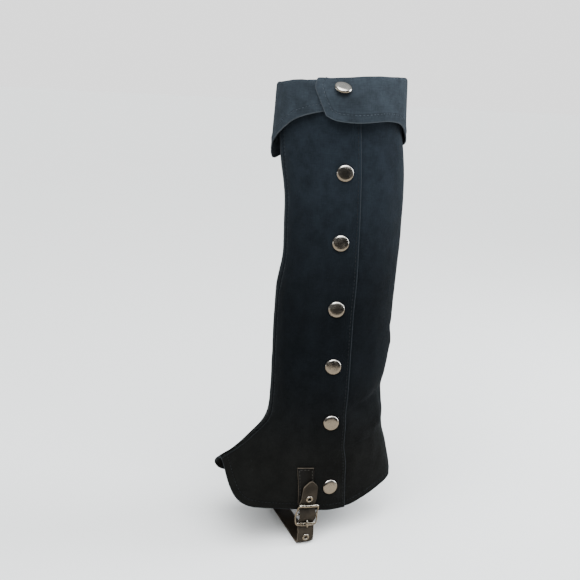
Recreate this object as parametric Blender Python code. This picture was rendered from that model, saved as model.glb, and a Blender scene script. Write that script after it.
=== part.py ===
"""Boot cover: a cloth gaiter with a turned-down cuff, a flared hem and a sole strap.

Snap caps close the outer side, and a buckled strap joins the two sides underneath. Tables
and sizes are in millimetres, and heights are above the ground that the strap passes over.
+Z is up, the toe end points along -X and the outer side faces -Y. The origin is the centre
of the top opening at the height of the top snap, where the cover is held up when worn.
Angles run round the cover: 0 front, 90 outer side, 180 back, 270 inner side.
"""

import math
from collections import namedtuple

import bmesh
import bpy
import numpy as np
from mathutils import Matrix, Vector

MM = 0.001
LEG_HOLD_HEIGHT = 445.0

CLOTH = 1.8
CUFF_CLOTH = 1.5
GAP = 0.3
STRAP_THICKNESS = 2.0
TAB_THICKNESS = 1.4

LAP = 35.0
LAP_RAMP = 18.0
LAP_LIFT = CLOTH + GAP
SEAM_HALF_ANGLE = 0.24
SEAM_STRIP_ANGLE = 2.0

# Rings of the cover from its top edge to its hem, each through a front, side and back point.
# The powers square off the plan of the front and back halves, from 2, round.
Section = namedtuple("Section", "front_height front_x front_y side_height side_x half_width"
                                " back_height back_x front_power back_power")
SECTIONS = [
    Section(446.0, -58.6, 0.0, 449.0, -1.0, 57.8, 454.0, 56.6, 2.0, 2.0),
    Section(420.0, -58.3, 0.0, 421.0, -0.5, 57.8, 422.0, 57.2, 2.0, 2.0),
    Section(384.0, -55.6, 0.0, 384.0, 3.0, 58.6, 384.0, 62.0, 2.0, 2.0),
    Section(346.0, -50.6, 0.0, 346.0, 6.5, 57.2, 346.0, 62.8, 2.0, 2.0),
    Section(307.0, -50.6, 0.0, 307.0, 6.0, 56.8, 307.0, 62.4, 2.0, 2.0),
    Section(267.0, -54.9, 0.0, 267.0, 3.3, 58.0, 267.0, 61.6, 2.0, 2.0),
    Section(226.0, -58.1, 0.0, 226.0, 0.4, 58.4, 226.0, 59.4, 2.0, 2.0),
    Section(190.0, -58.6, 0.0, 190.0, 0.3, 58.6, 190.0, 58.8, 2.0, 2.0),
    Section(165.0, -58.4, 0.0, 165.0, -1.2, 57.6, 165.0, 56.0, 2.0, 2.0),
    Section(146.0, -59.2, 0.0, 146.0, -2.0, 57.4, 146.0, 55.3, 2.0, 2.0),
    Section(132.0, -60.4, 0.0, 130.5, -4.0, 56.6, 129.0, 57.0, 2.0, 2.0),
    Section(123.0, -64.5, -0.5, 112.0, -8.5, 55.2, 112.5, 60.4, 2.1, 2.1),
    Section(113.0, -76.0, -1.2, 92.0, -14.0, 52.8, 96.0, 65.4, 2.5, 2.2),
    Section(103.5, -87.5, -2.2, 73.0, -19.5, 50.4, 81.0, 69.6, 3.2, 2.35),
    Section(96.3, -99.5, -3.2, 57.0, -25.0, 48.4, 68.5, 71.8, 4.5, 2.5),
    Section(89.4, -112.8, -4.0, 42.0, -30.0, 46.2, 57.0, 72.6, 6.5, 2.6),
]
RING_ROWS = [0, 0.5, 1, 1.4, 1.8, 2.2, 2.6, 3, 3.5, 4, 4.4, 4.8, 5.2, 5.6, 6, 6.5, 7, 7.5, 8,
             8.4, 8.8, 9.2, 9.6, 10, 10.4, 10.8, 11.2, 11.7, 12.3, 12.9, 13.6, 14.3, 15]

# Share of the way up from the side's height to the front's and the back's.
Rise = namedtuple("Rise", "angle share")
FRONT_RISE = [Rise(-6, 0.96), Rise(0, 1.0), Rise(6, 0.96), Rise(12.3, 0.85), Rise(19, 0.725), Rise(24.5, 0.6),
              Rise(29.5, 0.45), Rise(34, 0.34), Rise(42, 0.235), Rise(52, 0.175), Rise(66, 0.10),
              Rise(90, 0.0)]
BACK_RISE = [Rise(90, 0.0), Rise(104, -0.22), Rise(118, -0.18), Rise(135, 0.28),
             Rise(155, 0.86), Rise(180, 1.0), Rise(205, 0.86)]

# Free edge of the front panel, along the outer side.
EdgePoint = namedtuple("EdgePoint", "height x")
PLACKET_EDGE = [EdgePoint(460, -7.7), EdgePoint(385, -2.2), EdgePoint(353, -0.2),
                EdgePoint(314, 0.8), EdgePoint(279, 0.6), EdgePoint(252, -1.2),
                EdgePoint(196, -1.8), EdgePoint(138, -1.9), EdgePoint(119, -2.2),
                EdgePoint(94, 1.7), EdgePoint(64, 4.4), EdgePoint(40, 6.9)]

# Creases and soft rolls of the cloth: a positive rise stands out, a negative one sinks in.
# The slope turns the fold from level, positive where it climbs towards larger angles.
Fold = namedtuple("Fold", "angle height half_length half_width rise slope")
FOLD_RADIUS = 58.0
FOLDS = [
    Fold(128, 156, 34, 9, -4.2, 12),
    Fold(104, 143, 22, 9, -3.0, -18),
    Fold(146, 132, 30, 10, 2.4, 20),
    Fold(112, 109, 26, 5, -2.2, 8),
    Fold(120, 97, 26, 9, 1.6, 6),
    Fold(160, 214, 34, 30, 2.0, 0),
    Fold(14, 292, 34, 9, -1.8, 35),
    Fold(10, 266, 30, 13, 1.5, 35),
    Fold(232, 158, 34, 9, -3.8, -10),
    Fold(258, 143, 24, 9, -2.6, 14),
    Fold(222, 131, 32, 10, 2.4, -14),
    Fold(252, 108, 28, 6, -2.2, -8),
    Fold(300, 150, 26, 8, -2.0, -20),
    Fold(338, 290, 30, 10, -1.6, -25),
    Fold(318, 266, 30, 13, 1.4, -25),
    Fold(200, 300, 30, 12, 1.4, 15),
]

# Turned-down cuff: its rim, its lower edge and how far it stands off the cover's top ring.
# The roll is the turn at the rim: how far out and down it reaches, and its power, 2 for round.
CuffPoint = namedtuple("CuffPoint", "angle rim_height edge_height stand_off"
                                    " roll_width roll_depth roll_power")
FRONT_CUFF = [
    CuffPoint(-90, 457.0, 393.0, 5.0, 3.6, 3.0, 2.0),
    CuffPoint(-65, 455.0, 388.5, 6.0, 3.6, 3.0, 2.0),
    CuffPoint(-48, 453.5, 383.5, 7.4, 3.6, 3.0, 2.0),
    CuffPoint(-37, 452.5, 380.5, 8.0, 3.6, 3.0, 2.0),
    CuffPoint(-25, 452.0, 390.5, 6.6, 3.6, 3.0, 2.0),
    CuffPoint(-6, 452.0, 401.3, 5.2, 3.6, 3.0, 2.0),
    CuffPoint(15, 453.0, 413.0, 5.0, 3.6, 3.2, 2.0),
    CuffPoint(28, 454.4, 421.0, 5.2, 3.6, 3.4, 2.0),
    CuffPoint(40, 454.2, 425.2, 5.2, 3.5, 3.4, 2.0),
    CuffPoint(48, 452.2, 427.4, 5.0, 3.3, 3.2, 2.0),
    CuffPoint(60, 451.6, 430.0, 4.8, 3.2, 3.0, 2.0),
    CuffPoint(83, 452.0, 432.0, 4.8, 3.2, 3.0, 2.0),
]
BACK_CUFF = [
    CuffPoint(47, 456.2, 434.0, 8.8, 8.6, 8.0, 1.9),
    CuffPoint(56, 456.7, 426.5, 9.6, 9.8, 12.0, 1.6),
    CuffPoint(66, 457.3, 421.4, 10.2, 10.8, 15.0, 1.5),
    CuffPoint(80, 458.6, 420.2, 10.2, 10.8, 15.0, 1.5),
    CuffPoint(92, 459.8, 421.2, 9.4, 9.4, 11.0, 1.6),
    CuffPoint(108, 460.4, 422.8, 7.2, 5.6, 5.0, 1.8),
    CuffPoint(122, 460.6, 422.2, 5.8, 4.0, 3.4, 2.0),
    CuffPoint(136, 460.8, 418.0, 5.0, 3.6, 3.0, 2.0),
    CuffPoint(143, 460.9, 411.8, 4.8, 3.6, 3.0, 2.0),
    CuffPoint(158, 461.0, 404.0, 5.0, 3.6, 3.0, 2.0),
    CuffPoint(180, 461.0, 398.0, 5.4, 3.6, 3.0, 2.0),
    CuffPoint(215, 460.0, 394.0, 5.4, 3.6, 3.0, 2.0),
    CuffPoint(270, 457.0, 393.0, 5.0, 3.6, 3.0, 2.0),
]
CUFF_FREE_ANGLE = 47.5
CUFF_SLANT = 10.0
CUFF_SLANT_FADE = 22.5
CUFF_ROOT_GAP = 0.5
CUFF_TURN = 1.7
CUFF_INNER_DEPTH = 2.4
CUFF_TURN_STEPS = 10
CUFF_FALL_STEPS = 5

# Snap caps down the outer side, and the one on the cuff's rim, by its angle.
SnapPlace = namedtuple("SnapPlace", "height x")
SNAPS = [SnapPlace(377.0, -15.9), SnapPlace(313.6, -15.4), SnapPlace(251.9, -17.2),
         SnapPlace(196.0, -17.8), SnapPlace(138.6, -16.9), SnapPlace(67.9, -13.3)]
CUFF_SNAP_ANGLE = 69.0
CUFF_SNAP_OUT = 10.0
CUFF_SNAP_DROP = 11.0
CUFF_SNAP_TILT = 42.0
CAP_RADIUS = 7.7
CAP_HEIGHT = 3.3
CAP_SEAT = 0.35
STUD_RADIUS = 5.5
STUD_HEIGHT = 1.4
STUD_SEAT = 0.6

# Short tab sewn to the outer side, holding the buckle's middle bar.
TAB_TOP = 91.5
TAB_X = -40.2
TAB_HALF_WIDTH = 7.9
TAB_LOOP_HALF_WIDTH = 6.0
BUCKLE_X = -36.4
BUCKLE_Y = -54.5
BUCKLE_LEAN = 0.1
BUCKLE_HEIGHT = 39.8
BUCKLE_HALF_TALL = 10.4
BUCKLE_HALF_WIDE = 12.4
BUCKLE_TOP_HALF_WIDE = 10.6
BUCKLE_WIRE = 1.4
BAR_WIRE = 1.0
BAR_SET_BACK = 2.5
TAB_LOOP = BAR_WIRE + GAP + TAB_THICKNESS / 2
PRONG_WIRE = 0.85
PRONG_HOLE_HEIGHT = 34.4

# Sole strap, from its pointed tail on the outer side, underneath, and up the inner side.
# The skew is how far the strap's flat width turns along Y for each step along X.
StrapPoint = namedtuple("StrapPoint", "x y height skew")
PathRow = namedtuple("PathRow", "length x y height skew")
PATH_STEP = 3.2
SLACK = 0.25
TAIL_TOP = 77.0
TAIL_X = -34.0
STRAP_HALF_WIDTH = 8.2
SOLE_EDGE_Y = 53.0
SOLE_HEIGHT = 8.0
SOLE_ROUND = 7.0
INNER_TOP = 92.0
TailWidth = namedtuple("TailWidth", "below half_width")
TAIL_WIDTHS = [TailWidth(0.0, 1.2), TailWidth(3.6, 4.6), TailWidth(6.0, 7.2),
               TailWidth(12.0, 7.6), TailWidth(30.0, STRAP_HALF_WIDTH)]
EYELET_HEIGHTS = [57.5, 14.5]
EYELET_OUTER = 3.7
EYELET_INNER = 1.8
EYELET_TALL = 0.9


def interpolate(rows, key, value, at):
    """Smooth curve through a table's rows: cubic, with no overshoot."""
    xs = [getattr(row, key) for row in rows] if key else list(range(len(rows)))
    ys = [getattr(row, value) for row in rows]
    if at <= xs[0]:
        return ys[0]
    if at >= xs[-1]:
        return ys[-1]
    steps = [(ys[i + 1] - ys[i]) / (xs[i + 1] - xs[i]) for i in range(len(xs) - 1)]
    slopes = [steps[0]]
    for before, after in zip(steps, steps[1:]):
        slopes.append(0.0 if before * after <= 0 else 2 * before * after / (before + after))
    slopes.append(steps[-1])
    i = max(k for k in range(len(xs) - 1) if xs[k] <= at)
    width = xs[i + 1] - xs[i]
    t = (at - xs[i]) / width
    return ((1 + 2 * t) * (1 - t) ** 2 * ys[i] + t * (1 - t) ** 2 * width * slopes[i]
            + t * t * (3 - 2 * t) * ys[i + 1] - t * t * (1 - t) * width * slopes[i + 1])


def quarter(power):
    """One quarter of a superellipse of unit size: coordinates along and across."""
    turn = np.linspace(0.0, math.pi / 2, 181)
    along = np.cos(turn) ** (2.0 / power)
    across = np.sin(turn) ** (2.0 / power)
    return along, across


def plan_quarter(reach, half_width, power, share):
    """Point of a quarter outline at a share of its length, from its end to its side."""
    along, across = quarter(power)
    xs, ys = along * reach, across * half_width
    length = np.concatenate([[0.0], np.cumsum(np.hypot(np.diff(xs), np.diff(ys)))])
    return (float(np.interp(share * length[-1], length, xs)),
            float(np.interp(share * length[-1], length, ys)))


def section_at(row):
    return Section(*(interpolate(SECTIONS, None, field, row) for field in Section._fields))


def ring_point(section, angle):
    """Outer point of the plain form, before folds, on one ring at one angle."""
    turned = angle % 360.0
    outer = turned <= 180.0
    folded = turned if outer else 360.0 - turned
    if folded <= 90.0:
        x, y = plan_quarter(section.side_x - section.front_x, section.half_width,
                            section.front_power, folded / 90.0)
        y_shift = section.front_y * (x / (section.side_x - section.front_x)) ** 2
        x = section.side_x - x
        rise = interpolate(FRONT_RISE, "angle", "share", folded)
        height = section.side_height + rise * (section.front_height - section.side_height)
    else:
        x, y = plan_quarter(section.back_x - section.side_x, section.half_width,
                            section.back_power, (180.0 - folded) / 90.0)
        y_shift = 0.0
        x = section.side_x + x
        rise = interpolate(BACK_RISE, "angle", "share", folded)
        height = section.side_height + rise * (section.back_height - section.side_height)
    return x, y_shift + (-y if outer else y), height


def fold_rise(angle, height):
    """How far the folds push the cloth outwards at one place."""
    total = 0.0
    for fold in FOLDS:
        around = math.radians((angle - fold.angle + 180.0) % 360.0 - 180.0) * FOLD_RADIUS
        above = height - fold.height
        slope = math.radians(fold.slope)
        along = around * math.cos(slope) + above * math.sin(slope)
        across = above * math.cos(slope) - around * math.sin(slope)
        if abs(along) < 1.6 * fold.half_length:
            fade = math.cos(along / fold.half_length / 1.6 * math.pi / 2) ** 2
            total += fold.rise * fade * math.exp(-(across / fold.half_width) ** 2)
    return total


def cover_point(row, angle, lift=0.0):
    """Outer point of the cloth, and the level direction outwards from it."""
    section = section_at(row)
    x, y, height = ring_point(section, angle)
    before = ring_point(section, angle - 1.5)
    after = ring_point(section, angle + 1.5)
    tangent = Vector((after[0] - before[0], after[1] - before[1], 0.0))
    outward = Vector((tangent.y, -tangent.x, 0.0)).normalized()
    return Vector((x, y, height)) + outward * (fold_rise(angle, height) + lift), outward


def row_at_height(angle, height):
    """Ring row that passes a height at an angle."""
    low, high = 0.0, len(SECTIONS) - 1.0
    for _ in range(30):
        middle = (low + high) / 2
        if ring_point(section_at(middle), angle)[2] > height:
            low = middle
        else:
            high = middle
    return low


def angle_at_x(row, x_of_height):
    """Angle on the outer side where a ring meets a line given as x for each height."""
    section = section_at(row)
    low, high = 45.0, 140.0
    for _ in range(30):
        middle = (low + high) / 2
        x, _, height = ring_point(section, middle)
        if x < x_of_height(height):
            low = middle
        else:
            high = middle
    return low


def edge_angle(row):
    return angle_at_x(row, lambda height: interpolate(
        PLACKET_EDGE[::-1], "height", "x", height))


def place(height, x):
    """Row and angle of a point on the outer side given by its height and x."""
    angle = 80.0
    for _ in range(12):
        row = row_at_height(angle, height)
        angle = angle_at_x(row, lambda _: x)
    return row, angle


def lap_lift(row, angle, edge):
    """How far the front panel stands out where it lies over the back panel."""
    start = edge - LAP - LAP_RAMP
    share = min(max((angle - start) / (LAP_RAMP - 1.5), 0.0), 1.0)
    return LAP_LIFT * share * share * (3 - 2 * share)


def spread(start, end, count):
    return [start + (end - start) * i / count for i in range(count + 1)]


def material(name, colour, roughness, metallic=0.0):
    new = bpy.data.materials.new(name)
    new.use_nodes = True
    shader = new.node_tree.nodes["Principled BSDF"]
    shader.inputs["Base Color"].default_value = (*colour, 1.0)
    shader.inputs["Roughness"].default_value = roughness
    shader.inputs["Metallic"].default_value = metallic
    return new


def finish(name, bm, finish_material, sharp=40.0):
    """Turn millimetres above the ground into metres about the origin, and link the object."""
    bmesh.ops.translate(bm, verts=bm.verts, vec=(0.0, 0.0, -LEG_HOLD_HEIGHT))
    bmesh.ops.scale(bm, verts=bm.verts, vec=(MM, MM, MM))
    mesh = bpy.data.meshes.new(name)
    bm.to_mesh(mesh)
    bm.free()
    mesh.shade_smooth()
    mesh.set_sharp_from_angle(angle=math.radians(sharp))
    mesh.materials.append(finish_material)
    obj = bpy.data.objects.new(name, mesh)
    bpy.context.scene.collection.objects.link(obj)
    return obj


def sheet(points):
    """Grid of faces through rows of points, row by row downwards, facing outwards."""
    bm = bmesh.new()
    grid = [[bm.verts.new(point) for point in line] for line in points]
    for upper, lower in zip(grid, grid[1:]):
        for i in range(len(upper) - 1):
            bm.faces.new((upper[i], lower[i], lower[i + 1], upper[i + 1]))
    return bm


def cloth_wall(obj, thickness, offset):
    wall = obj.modifiers.new("Cloth wall", "SOLIDIFY")
    wall.thickness = thickness * MM
    wall.offset = offset
    wall.use_even_offset = True
    return obj


def front_panel(cloth):
    """Outer front panel, from the front seam to its free edge over the back panel."""
    lines = []
    for row in RING_ROWS:
        edge = edge_angle(row)
        start = edge - LAP - LAP_RAMP
        angles = ([SEAM_HALF_ANGLE] + spread(SEAM_STRIP_ANGLE, start, 9)
                  + spread(start, edge - LAP, 4)[1:] + spread(edge - LAP, edge, 5)[1:])
        lines.append([cover_point(row, a, lap_lift(row, a, edge))[0] for a in angles])
    return cloth_wall(finish("front_outer_panel", sheet(lines), cloth), CLOTH, -1)


def back_panel(cloth):
    """Outer back panel, from its edge under the front panel to the back seam."""
    lines = []
    for row in RING_ROWS:
        edge = edge_angle(row)
        angles = (spread(edge - LAP, edge, 5)
                  + spread(edge, 180.0 - SEAM_STRIP_ANGLE, 11)[1:] + [180.0 - SEAM_HALF_ANGLE])
        lines.append([cover_point(row, a)[0] for a in angles])
    return cloth_wall(finish("back_outer_panel", sheet(lines), cloth), CLOTH, -1)


def inner_panel(cloth):
    """Inner panel, from the back seam round the inner side to the front seam."""
    angles = ([180.0 + SEAM_HALF_ANGLE]
              + spread(180.0 + SEAM_STRIP_ANGLE, 360.0 - SEAM_STRIP_ANGLE, 27)
              + [360.0 - SEAM_HALF_ANGLE])
    lines = [[cover_point(row, a)[0] for a in angles] for row in RING_ROWS]
    return cloth_wall(finish("inner_panel", sheet(lines), cloth), CLOTH, -1)


def clear_of_cover(top, outward, angle, height, layers):
    """Least distance out from the top ring that clears the cover at a lower height."""
    if height > top.z:
        return 0.0
    under, _ = cover_point(row_at_height(angle, height), angle)
    return (under - top).dot(outward) + GAP + CUFF_CLOTH / 2 + layers


def cuff_profile(line, angle, lift):
    """Middle line of the turned-down cuff: distances out from the top ring, and heights."""
    get = {name: interpolate(line, "angle", name, angle) for name in CuffPoint._fields[1:]}
    top, outward = cover_point(0, angle)
    root = top.z + CUFF_ROOT_GAP
    rim = get["rim_height"]
    inner = lift - CLOTH / 2
    crown = inner + CUFF_TURN
    reach = get["roll_width"] - CUFF_TURN
    power = 2.0 / get["roll_power"]
    points = [(inner, root)]
    for step in range(4):
        turn = math.pi / 2 * step / 3
        points.append((crown - CUFF_TURN * math.cos(turn),
                       rim - CUFF_INNER_DEPTH * (1 - math.sin(turn))))
    for step in range(1, 6):
        turn = math.pi / 2 * step / 5
        points.append((crown + reach * math.sin(turn) ** power,
                       rim - get["roll_depth"] * (1 - math.cos(turn) ** power)))
    start = points[-1]
    for step in range(1, CUFF_FALL_STEPS + 1):
        share = step / CUFF_FALL_STEPS
        out = start[0] + (get["stand_off"] - start[0]) * share
        height = start[1] + (get["edge_height"] - start[1]) * share
        points.append((max(out, clear_of_cover(top, outward, angle, height, lift)), height))
    return [Vector((top.x, top.y, height)) + outward * out for out, height in points]


def build_cuff(name, line, angles_at, lift_at, cloth):
    """Cuff band: a column of profile points at each angle, which may slant on its way down."""
    profiles = {}
    columns = []
    for index in range(len(angles_at(0.0))):
        column = []
        for step in range(CUFF_TURN_STEPS + CUFF_FALL_STEPS):
            down = max(step + 1 - CUFF_TURN_STEPS, 0) / CUFF_FALL_STEPS
            angle = angles_at(down)[index]
            if angle not in profiles:
                profiles[angle] = cuff_profile(line, angle, lift_at(angle))
            column.append(profiles[angle][step])
        columns.append(column)
    obj = finish(name, sheet([list(row) for row in zip(*columns)]), cloth)
    return cloth_wall(obj, CUFF_CLOTH, 0)


def cuffs(cloth):
    """Front and back halves of the cuff, the back one outermost at the closure."""
    edge = edge_angle(0)

    def front_angles(_):
        return spread(-90 + SEAM_HALF_ANGLE, edge, 22)

    def back_angles(down):
        plain = (spread(CUFF_FREE_ANGLE, 110.0, 10)
                 + spread(110.0, 270 - SEAM_HALF_ANGLE, 16)[1:])
        return [angle + CUFF_SLANT * down
                * max(0.0, 1 - (angle - CUFF_FREE_ANGLE) / CUFF_SLANT_FADE) for angle in plain]

    build_cuff("cuff_front", FRONT_CUFF, front_angles, lambda a: lap_lift(0, a, edge), cloth)
    build_cuff("cuff_back", BACK_CUFF, back_angles, lambda a: 0.0, cloth)


def turned(profile, steps, frame, closed=False):
    """Solid of revolution about the frame's Z from points of radius and height."""
    bm = bmesh.new()
    verts = [bm.verts.new((radius, 0.0, height)) for radius, height in profile]
    edges = [bm.edges.new(pair) for pair in zip(verts, verts[1:])]
    if closed:
        edges.append(bm.edges.new((verts[-1], verts[0])))
    bmesh.ops.spin(bm, geom=verts + edges, cent=(0, 0, 0), axis=(0, 0, 1),
                   angle=2 * math.pi, steps=steps, use_merge=True)
    bmesh.ops.remove_doubles(bm, verts=bm.verts, dist=0.001)
    bmesh.ops.recalc_face_normals(bm, faces=bm.faces)
    bmesh.ops.transform(bm, matrix=frame, verts=bm.verts)
    return bm


def rod(points, radius, sides, cyclic=False):
    """Round wire along points, closed on itself or capped at its ends."""
    curve = bpy.data.curves.new("wire", "CURVE")
    curve.dimensions = "3D"
    curve.bevel_depth = radius
    curve.bevel_resolution = sides // 4 - 1
    curve.use_fill_caps = not cyclic
    spline = curve.splines.new("POLY")
    spline.points.add(len(points) - 1)
    for spline_point, point in zip(spline.points, points):
        spline_point.co = (*point, 1.0)
    spline.use_cyclic_u = cyclic
    holder = bpy.data.objects.new("wire", curve)
    bpy.context.scene.collection.objects.link(holder)
    bpy.context.view_layer.update()
    mesh = bpy.data.meshes.new_from_object(holder)
    bpy.data.objects.remove(holder, do_unlink=True)
    bm = bmesh.new()
    bm.from_mesh(mesh)
    bmesh.ops.remove_doubles(bm, verts=bm.verts, dist=0.001)
    bmesh.ops.recalc_face_normals(bm, faces=bm.faces)
    return bm


def facing(point, outward):
    """Frame at a point with its Z along outward."""
    z = outward.normalized()
    x = Vector((0, 0, 1)).cross(z).normalized()
    return Matrix.Translation(point) @ Matrix((x, z.cross(x), z)).transposed().to_4x4()


def surface(row, angle, lift=0.0):
    """Outer point and true outward direction of the cloth."""
    here = cover_point(row, angle, lift)[0]
    up = cover_point(row - 0.15, angle, lift)[0] - cover_point(row + 0.15, angle, lift)[0]
    around = cover_point(row, angle + 2, lift)[0] - cover_point(row, angle - 2, lift)[0]
    return here, around.cross(up).normalized()


def cap_profile():
    return [(0.0, 0.0), (CAP_RADIUS - 0.5, 0.0), (CAP_RADIUS, 0.8), (CAP_RADIUS - 0.9, 1.9),
            (CAP_RADIUS - 2.6, 2.75), (CAP_RADIUS - 5.0, 3.2), (0.0, CAP_HEIGHT)]


def stud_profile():
    return [(0.0, 0.0), (STUD_RADIUS, 0.0), (STUD_RADIUS - 0.2, 0.7),
            (STUD_RADIUS - 1.6, STUD_HEIGHT), (0.0, STUD_HEIGHT)]


def snaps(metal):
    """Domed caps outside the front panel, and their studs inside the back panel."""
    top, outward = cover_point(0, CUFF_SNAP_ANGLE)
    tilt = math.radians(CUFF_SNAP_TILT)
    normal = outward * math.cos(tilt) + Vector((0, 0, 1)) * math.sin(tilt)
    rim = interpolate(BACK_CUFF, "angle", "rim_height", CUFF_SNAP_ANGLE)
    profile = cuff_profile(BACK_CUFF, CUFF_SNAP_ANGLE, 0.0)
    crest = max(point.dot(normal) for point in profile)
    seat = top + outward * CUFF_SNAP_OUT
    seat.z = rim - CUFF_SNAP_DROP
    seat += normal * (crest + CUFF_CLOTH / 2 + CAP_SEAT - seat.dot(normal))
    finish("snap_cap_1", turned(cap_profile(), 16, facing(seat, normal)), metal, 50)
    for number, snap in enumerate(SNAPS, start=2):
        row, angle = place(snap.height, snap.x)
        here, normal = surface(row, angle, LAP_LIFT)
        frame = facing(here + normal * CAP_SEAT, normal)
        finish(f"snap_cap_{number}", turned(cap_profile(), 16, frame), metal, 50)
        here, normal = surface(row, angle)
        frame = facing(here - normal * (CLOTH + STUD_SEAT), -normal)
        finish(f"snap_stud_{number}", turned(stud_profile(), 14, frame), metal, 50)


def cover_y(x, height, inner=False):
    """Y of the cover's outer or inner side at a place given by x and height."""
    row, angle = place(height, x)
    if inner:
        return cover_point(row, 360.0 - angle)[0].y
    return cover_point(row, angle, lap_lift(row, angle, edge_angle(row)))[0].y


def on_side(x, height, off, inner=False):
    """Strap point resting off the cover's side, its width turned to lie along the cloth."""
    before, here, after = (cover_y(x + step, height, inner) for step in (-5.0, 0.0, 5.0))
    return StrapPoint(x, here + (off if inner else -off), height, (after - before) / 10.0)


def ribbon(path, half_widths, columns=2):
    """Flat strip along a path, its width along X, turned by each point's skew."""
    lines = []
    for point, half in zip(path, half_widths):
        steps = [half * (2 * i / columns - 1) for i in range(columns + 1)]
        lines.append([Vector((point.x + step, point.y + point.skew * step, point.height))
                      for step in steps])
    return sheet(lines)


def resampled(points, step):
    """Smooth path through points, sampled at about even distances."""
    lengths = [0.0]
    for a, b in zip(points, points[1:]):
        lengths.append(lengths[-1] + math.dist(a[:3], b[:3]))
    rows = [PathRow(length, *point) for length, point in zip(lengths, points)]
    count = round(lengths[-1] / step)
    return [StrapPoint(*(interpolate(rows, "length", field, lengths[-1] * i / count)
                         for field in StrapPoint._fields)) for i in range(count + 1)]


def tab_path():
    """Down the cloth from the tab's top, then round the buckle's middle bar."""
    path = []
    for height in (TAB_TOP, 84.0, 76.0, 68.0, 60.0, 53.0, 46.3):
        share = (TAB_TOP - height) / (TAB_TOP - BUCKLE_HEIGHT)
        x = TAB_X + (BUCKLE_X - TAB_X) * share
        path.append(on_side(x, height, GAP + TAB_THICKNESS / 2 + SLACK))
    bar_y = BUCKLE_Y + BAR_SET_BACK
    for step in range(10):
        turn = math.radians(-10 + 27 * step)
        path.append(StrapPoint(BUCKLE_X, bar_y + TAB_LOOP * math.cos(turn),
                               BUCKLE_HEIGHT - TAB_LOOP * math.sin(turn), 0.0))
    return path


def tab(leather):
    path = tab_path()
    widths = [TAB_HALF_WIDTH] * 6 + [TAB_LOOP_HALF_WIDTH] * (len(path) - 6)
    return cloth_wall(finish("strap_tab", ribbon(path, widths), leather), TAB_THICKNESS, 0)


def strap_points():
    """Route of the sole strap's middle: tail, buckle, underneath, inner side."""
    bar_y = BUCKLE_Y + BAR_SET_BACK
    behind_bars = BUCKLE_Y + BUCKLE_WIRE + GAP + STRAP_THICKNESS / 2 + 0.1
    lean = BUCKLE_LEAN * BUCKLE_HALF_TALL
    over_middle_bar = bar_y - TAB_LOOP - TAB_THICKNESS / 2 - GAP - STRAP_THICKNESS / 2 - 0.1
    over_tab = GAP + TAB_THICKNESS + GAP + STRAP_THICKNESS / 2 + 3 * SLACK
    points = []
    for height in (TAIL_TOP, 71.0, 64.0, 58.0):
        share = (TAIL_TOP - height) / (TAIL_TOP - BUCKLE_HEIGHT)
        points.append(on_side(TAIL_X + (BUCKLE_X - TAIL_X) * share, height, over_tab))
    flat = [(BUCKLE_X, behind_bars - lean, BUCKLE_HEIGHT + BUCKLE_HALF_TALL),
            (BUCKLE_X, over_middle_bar, BUCKLE_HEIGHT),
            (BUCKLE_X, behind_bars + lean, BUCKLE_HEIGHT - BUCKLE_HALF_TALL),
            (BUCKLE_X - 0.3, -SOLE_EDGE_Y + 0.6, 23.0),
            (BUCKLE_X - 0.4, -SOLE_EDGE_Y, 18.0)]
    for side in (-1, 1):
        for step in (range(5) if side < 0 else range(4, -1, -1)):
            turn = math.radians(90 * step / 4)
            flat.append((BUCKLE_X - 0.5,
                         side * (SOLE_EDGE_Y - SOLE_ROUND * (1 - math.cos(turn))),
                         SOLE_HEIGHT + SOLE_ROUND * (1 - math.sin(turn))))
    flat.append((BUCKLE_X - 0.8, SOLE_EDGE_Y, 22.0))
    points += [StrapPoint(*point, 0.0) for point in flat]
    out = GAP + STRAP_THICKNESS / 2 + SLACK
    for height in (34.0, 48.0, 56.0, 66.0, 78.0, INNER_TOP):
        rest = on_side(BUCKLE_X - 1.5, max(height, 48.0), out, inner=True)
        points.append(rest._replace(height=height))
    return points


def eyelet_frames(path):
    """Frames on the strap's outer face at each eyelet and at the prong's hole."""
    frames = []
    outer = [point for point in path if point.y < 0]
    for height in [EYELET_HEIGHTS[0], PRONG_HOLE_HEIGHT, EYELET_HEIGHTS[1]]:
        i = min(range(1, len(outer) - 1), key=lambda k: abs(outer[k].height - height))
        along = Vector(outer[i + 1][:3]) - Vector(outer[i - 1][:3])
        normal = Vector((1, outer[i].skew, 0)).cross(along).normalized()
        if normal.y > 0:
            normal.negate()
        frames.append((Vector(outer[i][:3]), normal))
    return frames


def half_width_at(below):
    return interpolate(TAIL_WIDTHS, "below", "half_width", below)


def sole_strap(leather, nickel):
    path = resampled(strap_points(), PATH_STEP)
    widths = [half_width_at(TAIL_TOP - p.height) if p.y < 0 else STRAP_HALF_WIDTH for p in path]
    strap = cloth_wall(finish("sole_strap", ribbon(path, widths), leather), STRAP_THICKNESS, 0)
    frames = eyelet_frames(path)
    for number, (middle, normal) in enumerate(frames, start=1):
        hole = bmesh.new()
        bmesh.ops.create_cone(hole, cap_ends=True, segments=14, radius1=EYELET_INNER,
                              radius2=EYELET_INNER, depth=4 * STRAP_THICKNESS,
                              matrix=facing(middle, normal))
        cutter = finish(f"eyelet_hole_{number}", hole, leather)
        cutter.hide_render = True
        cutter.display_type = "WIRE"
        cut = strap.modifiers.new(f"Eyelet hole {number}", "BOOLEAN")
        cut.object = cutter
        ring = [(EYELET_INNER, 0.0), (EYELET_OUTER, 0.0), (EYELET_OUTER - 0.5, EYELET_TALL),
                (EYELET_INNER + 0.4, EYELET_TALL)]
        seat = middle + normal * (STRAP_THICKNESS / 2 + CAP_SEAT)
        if number != 2:
            finish(f"eyelet_{number}", turned(ring, 16, facing(seat, normal), closed=True),
                   nickel, 50)
    return frames[1]


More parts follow.
